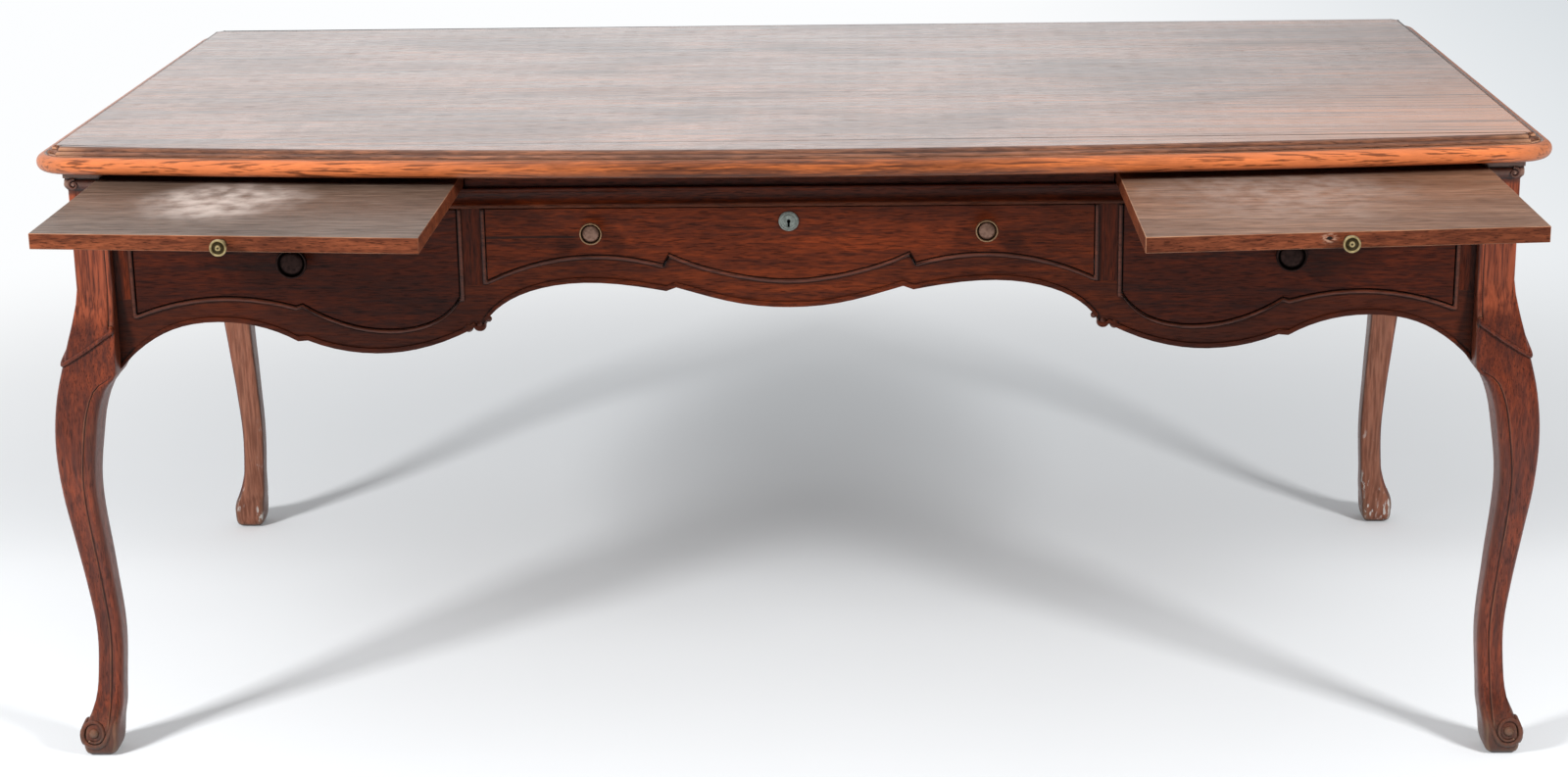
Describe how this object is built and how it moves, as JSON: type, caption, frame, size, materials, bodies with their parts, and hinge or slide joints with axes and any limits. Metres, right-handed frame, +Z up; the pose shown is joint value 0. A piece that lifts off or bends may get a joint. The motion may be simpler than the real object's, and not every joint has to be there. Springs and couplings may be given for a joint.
{
  "type": "writing desk",
  "caption": "Writing desk on scroll-footed cabriole legs, with shaped frieze drawers, pull-out writing slides, brass knobs and a moulded top.",
  "frame": {"origin": "on the floor, in the middle of the floor space taken up with the writing slides drawn out as in the picture", "axes": "+X to the sitter's right as seen from the front, +Y from the front to the back, +Z up"},
  "size_m": [1.806, 1.212, 0.78],
  "materials": {
    "top_wood": "satin",
    "leg_wood": "satin",
    "frame_wood": "satin",
    "slide_wood": "satin",
    "inner_wood": "matte",
    "brass": "satin",
    "steel": "satin"
  },
  "bodies": {
    "desk": {"back_apron": "frame_wood", "back_left_leg": "leg_wood", "back_right_leg": "leg_wood", "centre_drawer_kickers": "inner_wood", "centre_drawer_runners": "inner_wood", "desk_top": "top_wood", "drawer_opening_beads": "frame_wood", "frieze_moulding": "frame_wood", "front_apron": "frame_wood", "front_left_leg": "leg_wood", "front_right_leg": "leg_wood", "front_strip": "frame_wood", "left_drawer_guides": "inner_wood", "left_drawer_runners": "inner_wood", "left_end_stile": "frame_wood", "left_frieze_rail": "frame_wood", "left_inner_stile": "frame_wood", "left_partition": "inner_wood", "left_side_apron": "frame_wood", "left_slide_kickers": "inner_wood", "left_slide_runners": "inner_wood", "lock_keeper": "inner_wood", "right_drawer_guides": "inner_wood", "right_drawer_runners": "inner_wood", "right_end_stile": "frame_wood", "right_frieze_rail": "frame_wood", "right_inner_stile": "frame_wood", "right_partition": "inner_wood", "right_side_apron": "frame_wood", "right_slide_kickers": "inner_wood", "right_slide_runners": "inner_wood", "top_buttons": "inner_wood"},
    "centre_drawer": {"centre_drawer_back": "inner_wood", "centre_drawer_bottom": "inner_wood", "centre_drawer_front": "frame_wood", "centre_drawer_knobs": "brass", "centre_drawer_left_side": "inner_wood", "centre_drawer_right_side": "inner_wood", "escutcheon": "steel", "lock_case": "steel"},
    "left_drawer": {"left_drawer_back": "inner_wood", "left_drawer_bottom": "inner_wood", "left_drawer_front": "frame_wood", "left_drawer_inner_side": "inner_wood", "left_drawer_knob": "brass", "left_drawer_outer_side": "inner_wood"},
    "left_slide": {"left_slide_board": "slide_wood", "left_slide_knob": "brass", "left_slide_stop": "inner_wood"},
    "lock_bolt": {"lock_bolt": "steel"},
    "right_drawer": {"right_drawer_back": "inner_wood", "right_drawer_bottom": "inner_wood", "right_drawer_front": "frame_wood", "right_drawer_inner_side": "inner_wood", "right_drawer_knob": "brass", "right_drawer_outer_side": "inner_wood"},
    "right_slide": {"right_slide_board": "slide_wood", "right_slide_knob": "brass", "right_slide_stop": "inner_wood"}
  },
  "joints": [
    {"name": "centre_drawer_pull", "type": "slide", "parent": "desk", "child": "centre_drawer", "axis": [0, -1, 0], "range_m": [0, 0.4]},
    {"name": "left_drawer_pull", "type": "slide", "parent": "desk", "child": "left_drawer", "axis": [0, -1, 0], "range_m": [0, 0.4]},
    {"name": "right_drawer_pull", "type": "slide", "parent": "desk", "child": "right_drawer", "axis": [0, -1, 0], "range_m": [0, 0.4]},
    {"name": "left_slide_pull", "type": "slide", "parent": "desk", "child": "left_slide", "axis": [0, -1, 0], "range_m": [-0.293, 0.107]},
    {"name": "right_slide_pull", "type": "slide", "parent": "desk", "child": "right_slide", "axis": [0, -1, 0], "range_m": [-0.314, 0.086]},
    {"name": "lock_bolt_throw", "type": "slide", "parent": "centre_drawer", "child": "lock_bolt", "axis": [0, 0, 1], "range_m": [0, 0.008]}
  ]
}
